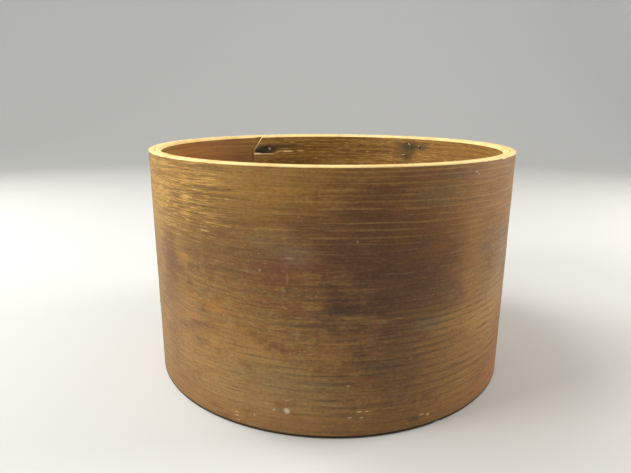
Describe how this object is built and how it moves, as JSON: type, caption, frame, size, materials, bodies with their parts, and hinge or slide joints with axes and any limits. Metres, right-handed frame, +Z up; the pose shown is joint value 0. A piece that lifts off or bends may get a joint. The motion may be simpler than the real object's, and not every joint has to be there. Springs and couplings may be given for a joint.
{
  "type": "snare drum shell",
  "caption": "Bare round bentwood snare drum shell with lapped reinforcing rings inside both bearing edges, clinched seam tacks and an open bore, stripped of heads and hoops.",
  "frame": {"origin": "centre of the bottom bearing edge, on the plane the shell stands on", "axes": "+Z up the drum's axis, -Y towards the front, +X to the right seen from the front"},
  "size_m": [0.4063, 0.4064, 0.2476],
  "materials": {
    "shell_wood": "old dark stain worn through to the open grain, dry and matt, bearing edges cut to pale raw wood",
    "ring_wood": "bare aged wood, matt, with black iron stains round the nails",
    "iron": "rusted wrought iron, matt"
  },
  "bodies": {
    "root": {"shell": "shell_wood", "top_ring": "ring_wood", "bottom_ring": "ring_wood", "seam_tack_top_edge_1": "iron", "seam_tack_top_edge_2": "iron", "seam_tack_top_edge_3": "iron", "seam_tack_top_edge_4": "iron", "seam_tack_top_wall_1": "iron", "seam_tack_top_wall_2": "iron", "seam_tack_top_wall_3": "iron", "seam_tack_top_wall_4": "iron", "seam_tack_bottom_edge_1": "iron", "seam_tack_bottom_edge_2": "iron", "seam_tack_bottom_edge_3": "iron", "seam_tack_bottom_edge_4": "iron", "seam_tack_bottom_wall_1": "iron", "seam_tack_bottom_wall_2": "iron", "seam_tack_bottom_wall_3": "iron", "seam_tack_bottom_wall_4": "iron", "top_ring_nail_1": "iron", "top_ring_nail_2": "iron", "bottom_ring_nail_1": "iron", "bottom_ring_nail_2": "iron"}
  },
  "joints": []
}
